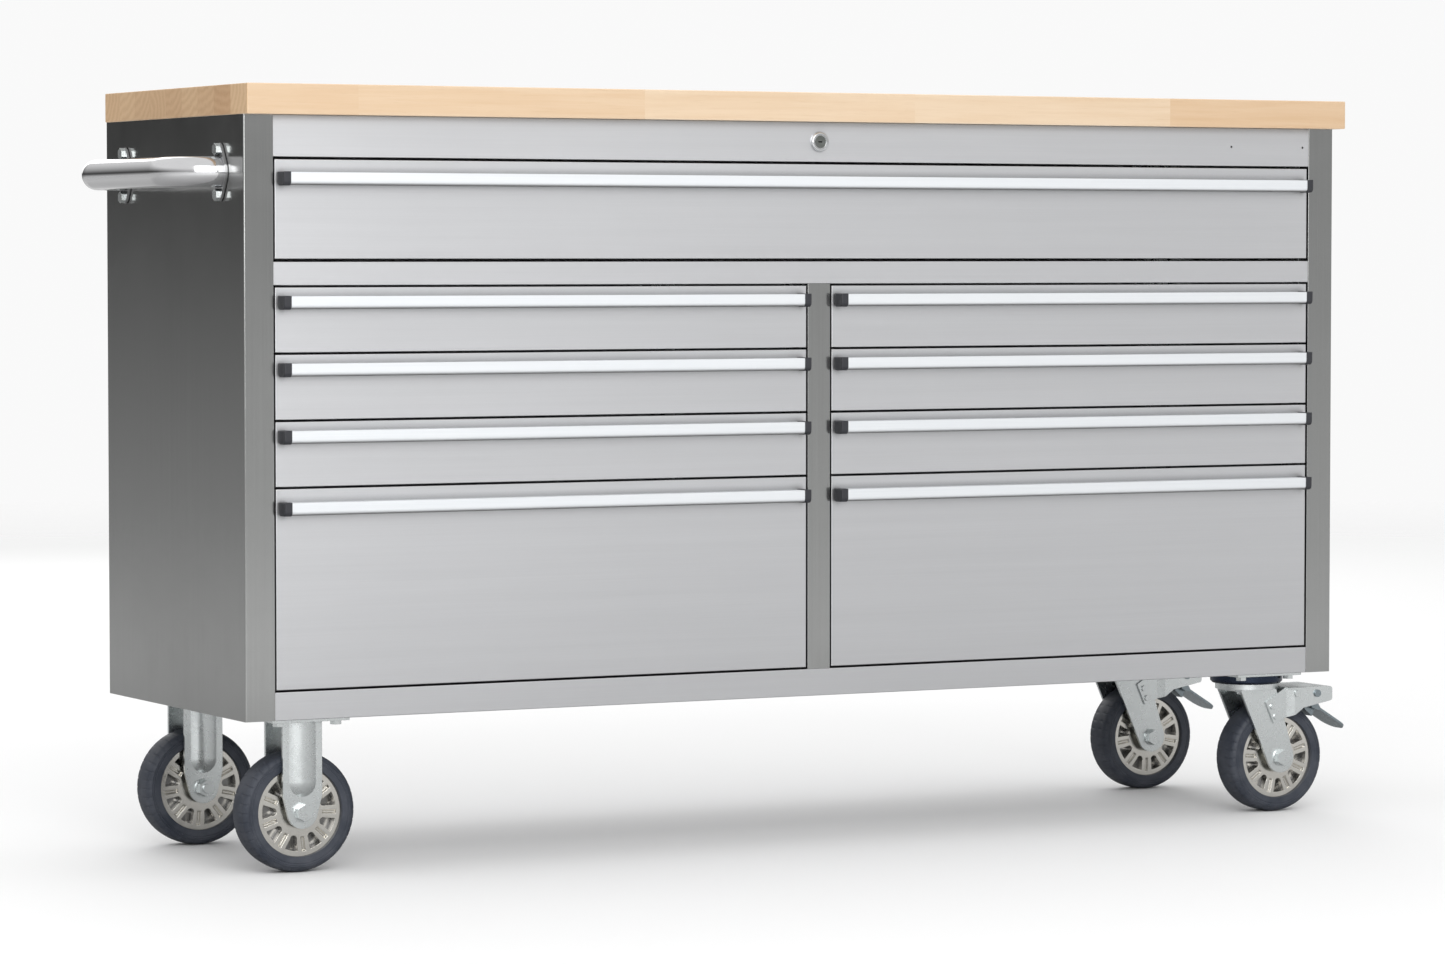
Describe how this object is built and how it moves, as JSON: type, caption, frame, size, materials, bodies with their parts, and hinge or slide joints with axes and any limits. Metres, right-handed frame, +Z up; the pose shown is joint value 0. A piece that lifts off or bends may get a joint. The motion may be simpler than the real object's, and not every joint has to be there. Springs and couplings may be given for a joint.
{
  "type": "rolling tool chest",
  "caption": "Stainless rolling tool chest with a wood worktop, full-width and banked drawers with bar pulls, a push handle, a key lock and casters.",
  "frame": {"origin": "on the floor under the middle of the whole box, with the casters trailing to the right", "axes": "+Z up; the drawers open towards -Y; the push handle is at the -X end and the swivel casters at the +X end"},
  "size_m": [1.7235, 0.4794, 0.965],
  "materials": {
    "butcher_block": "satin oiled",
    "polished_steel": "polished",
    "brushed_steel": "brushed, horizontal grain",
    "handle_steel": "satin",
    "zinc": "zinc plated",
    "dark_zinc": "dark satin",
    "chrome": "mirror",
    "anodised": "satin anodised",
    "black_plastic": "matte",
    "cast_aluminium": "machined and polished",
    "tyre_rubber": "matte"
  },
  "bodies": {
    "cabinet": {"worktop": "butcher_block", "left_side_panel": "polished_steel", "right_side_panel": "polished_steel", "back_panel": "brushed_steel", "base_pan": "brushed_steel", "lock_rail": "brushed_steel", "middle_rail": "brushed_steel", "bottom_rail": "brushed_steel", "centre_partition": "polished_steel", "slide_uprights": "zinc", "slide_rails": "zinc", "push_handle": "handle_steel", "m8_bolts": "zinc", "lock_housing": "chrome", "rigid_caster_forks": "zinc", "rigid_caster_axles": "zinc", "swivel_plates": "zinc"},
    "top_drawer": {"top_drawer_tray": "brushed_steel", "top_drawer_pull": "anodised", "top_drawer_end_caps": "black_plastic"},
    "left_drawer_1": {"left_drawer_1_tray": "brushed_steel", "left_drawer_1_pull": "anodised", "left_drawer_1_end_caps": "black_plastic"},
    "left_drawer_2": {"left_drawer_2_tray": "brushed_steel", "left_drawer_2_pull": "anodised", "left_drawer_2_end_caps": "black_plastic"},
    "left_drawer_3": {"left_drawer_3_tray": "brushed_steel", "left_drawer_3_pull": "anodised", "left_drawer_3_end_caps": "black_plastic"},
    "left_drawer_4": {"left_drawer_4_tray": "brushed_steel", "left_drawer_4_pull": "anodised", "left_drawer_4_end_caps": "black_plastic"},
    "right_drawer_1": {"right_drawer_1_tray": "brushed_steel", "right_drawer_1_pull": "anodised", "right_drawer_1_end_caps": "black_plastic"},
    "right_drawer_2": {"right_drawer_2_tray": "brushed_steel", "right_drawer_2_pull": "anodised", "right_drawer_2_end_caps": "black_plastic"},
    "right_drawer_3": {"right_drawer_3_tray": "brushed_steel", "right_drawer_3_pull": "anodised", "right_drawer_3_end_caps": "black_plastic"},
    "right_drawer_4": {"right_drawer_4_tray": "brushed_steel", "right_drawer_4_pull": "anodised", "right_drawer_4_end_caps": "black_plastic"},
    "lock_plug": {"lock_plug": "chrome"},
    "front_rigid_wheel": {"front_rigid_wheel_rim": "cast_aluminium", "front_rigid_wheel_tyre": "tyre_rubber"},
    "front_swivel": {"front_swivel_fork": "zinc", "front_swivel_axle": "zinc"},
    "front_swivel_wheel": {"front_swivel_wheel_rim": "cast_aluminium", "front_swivel_wheel_tyre": "tyre_rubber"},
    "front_brake_pedal": {"front_brake_pedal": "dark_zinc"},
    "rear_rigid_wheel": {"rear_rigid_wheel_rim": "cast_aluminium", "rear_rigid_wheel_tyre": "tyre_rubber"},
    "rear_swivel": {"rear_swivel_fork": "zinc", "rear_swivel_axle": "zinc"},
    "rear_swivel_wheel": {"rear_swivel_wheel_rim": "cast_aluminium", "rear_swivel_wheel_tyre": "tyre_rubber"},
    "rear_brake_pedal": {"rear_brake_pedal": "dark_zinc"}
  },
  "joints": [
    {"name": "top_drawer_slide", "type": "slide", "parent": "cabinet", "child": "top_drawer", "axis": [0, -1, 0], "range_m": [0, 0.3]},
    {"name": "left_drawer_1_slide", "type": "slide", "parent": "cabinet", "child": "left_drawer_1", "axis": [0, -1, 0], "range_m": [0, 0.3]},
    {"name": "left_drawer_2_slide", "type": "slide", "parent": "cabinet", "child": "left_drawer_2", "axis": [0, -1, 0], "range_m": [0, 0.3]},
    {"name": "left_drawer_3_slide", "type": "slide", "parent": "cabinet", "child": "left_drawer_3", "axis": [0, -1, 0], "range_m": [0, 0.3]},
    {"name": "left_drawer_4_slide", "type": "slide", "parent": "cabinet", "child": "left_drawer_4", "axis": [0, -1, 0], "range_m": [0, 0.3]},
    {"name": "right_drawer_1_slide", "type": "slide", "parent": "cabinet", "child": "right_drawer_1", "axis": [0, -1, 0], "range_m": [0, 0.3]},
    {"name": "right_drawer_2_slide", "type": "slide", "parent": "cabinet", "child": "right_drawer_2", "axis": [0, -1, 0], "range_m": [0, 0.3]},
    {"name": "right_drawer_3_slide", "type": "slide", "parent": "cabinet", "child": "right_drawer_3", "axis": [0, -1, 0], "range_m": [0, 0.3]},
    {"name": "right_drawer_4_slide", "type": "slide", "parent": "cabinet", "child": "right_drawer_4", "axis": [0, -1, 0], "range_m": [0, 0.3]},
    {"name": "lock_turn", "type": "hinge", "parent": "cabinet", "child": "lock_plug", "pos_m": [0.00575, -0.21975, 0.9025], "axis": [0, 1, 0], "range_deg": [0, 90]},
    {"name": "front_rigid_wheel_spin", "type": "hinge", "parent": "cabinet", "child": "front_rigid_wheel", "pos_m": [-0.69675, -0.15225, 0.075], "axis": [0, 1, 0], "continuous": true},
    {"name": "front_caster_swivel", "type": "hinge", "parent": "cabinet", "child": "front_swivel", "pos_m": [0.70825, -0.15225, 0.18], "axis": [0, 0, 1], "continuous": true},
    {"name": "front_swivel_wheel_spin", "type": "hinge", "parent": "front_swivel", "child": "front_swivel_wheel", "pos_m": [0.74525, -0.15225, 0.075], "axis": [0, 1, 0], "continuous": true},
    {"name": "front_brake_press", "type": "hinge", "parent": "front_swivel", "child": "front_brake_pedal", "pos_m": [0.79825, -0.15225, 0.161], "axis": [0, 1, 0], "range_deg": [0, 10]},
    {"name": "rear_rigid_wheel_spin", "type": "hinge", "parent": "cabinet", "child": "rear_rigid_wheel", "pos_m": [-0.69675, 0.17075, 0.075], "axis": [0, 1, 0], "continuous": true},
    {"name": "rear_caster_swivel", "type": "hinge", "parent": "cabinet", "child": "rear_swivel", "pos_m": [0.70825, 0.17075, 0.18], "axis": [0, 0, 1], "continuous": true},
    {"name": "rear_swivel_wheel_spin", "type": "hinge", "parent": "rear_swivel", "child": "rear_swivel_wheel", "pos_m": [0.74525, 0.17075, 0.075], "axis": [0, 1, 0], "continuous": true},
    {"name": "rear_brake_press", "type": "hinge", "parent": "rear_swivel", "child": "rear_brake_pedal", "pos_m": [0.79825, 0.17075, 0.161], "axis": [0, 1, 0], "range_deg": [0, 10]}
  ]
}
